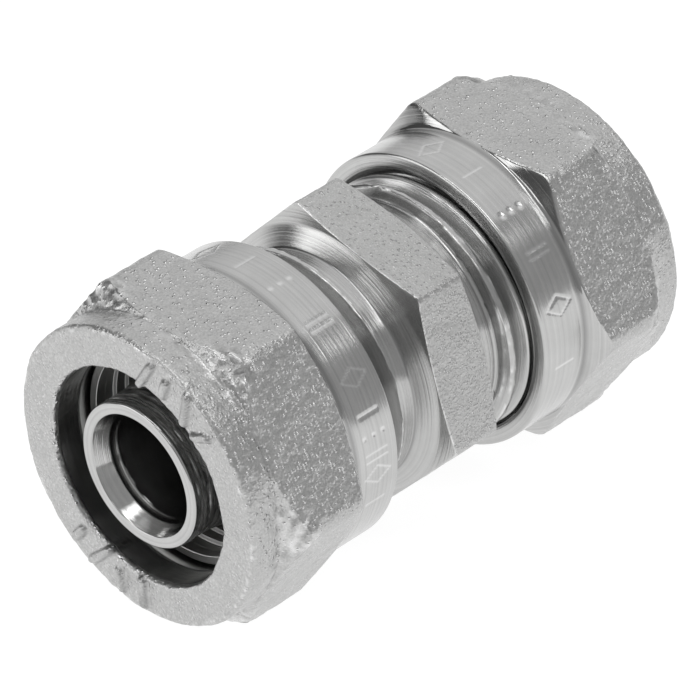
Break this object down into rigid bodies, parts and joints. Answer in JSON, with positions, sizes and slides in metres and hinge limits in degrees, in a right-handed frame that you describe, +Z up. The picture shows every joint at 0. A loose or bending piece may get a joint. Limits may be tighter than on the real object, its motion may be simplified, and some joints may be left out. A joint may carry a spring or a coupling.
{
  "type": "compression fitting",
  "caption": "Straight compression coupling for multilayer pipe: hexagon body with threaded ends, hollow nipples, union nuts and split rings.",
  "frame": {"origin": "middle of the body on the pipe axis", "axes": "+X along the pipe axis from end a to end b, +Z up with the union nuts' flats facing up and down, +Y to the left of end b"},
  "size_m": [0.044, 0.0272, 0.0238],
  "materials": {
    "plated_brass_body": "nickel plated, forged flats and turned shoulders",
    "plated_brass_nut": "nickel plated, rough forged hexagon and smooth turned collar",
    "split_ring_brass": "turned, satin, thinly plated",
    "insulating_plastic": "matte white",
    "seal_rubber": "matte black"
  },
  "bodies": {
    "body": {"coupling_body": "plated_brass_body", "insulating_washer_a": "insulating_plastic", "insulating_washer_b": "insulating_plastic", "o_ring_a1": "seal_rubber", "o_ring_a2": "seal_rubber", "o_ring_b1": "seal_rubber", "o_ring_b2": "seal_rubber"},
    "ring_a": {"split_ring_a": "split_ring_brass"},
    "ring_b": {"split_ring_b": "split_ring_brass"},
    "nut_a": {"union_nut_a": "plated_brass_nut"},
    "nut_b": {"union_nut_b": "plated_brass_nut"}
  },
  "joints": [
    {"name": "ring_a_slide", "type": "slide", "parent": "body", "child": "ring_a", "axis": [-1, 0, 0], "range_m": [0, 0.00545]},
    {"name": "nut_a_spin", "type": "hinge", "parent": "ring_a", "child": "nut_a", "pos_m": [-0.0148, 0, 0], "axis": [-1, 0, 0], "range_deg": [0, 1080]},
    {"name": "ring_b_slide", "type": "slide", "parent": "body", "child": "ring_b", "axis": [1, 0, 0], "range_m": [0, 0.00545]},
    {"name": "nut_b_spin", "type": "hinge", "parent": "ring_b", "child": "nut_b", "pos_m": [0.0148, 0, 0], "axis": [1, 0, 0], "range_deg": [0, 1080]}
  ],
  "couplings": [
    {"joint": "ring_a_slide", "follows": "nut_a_spin", "m_per_rad": 0.00028871},
    {"joint": "ring_b_slide", "follows": "nut_b_spin", "m_per_rad": 0.00028871}
  ]
}
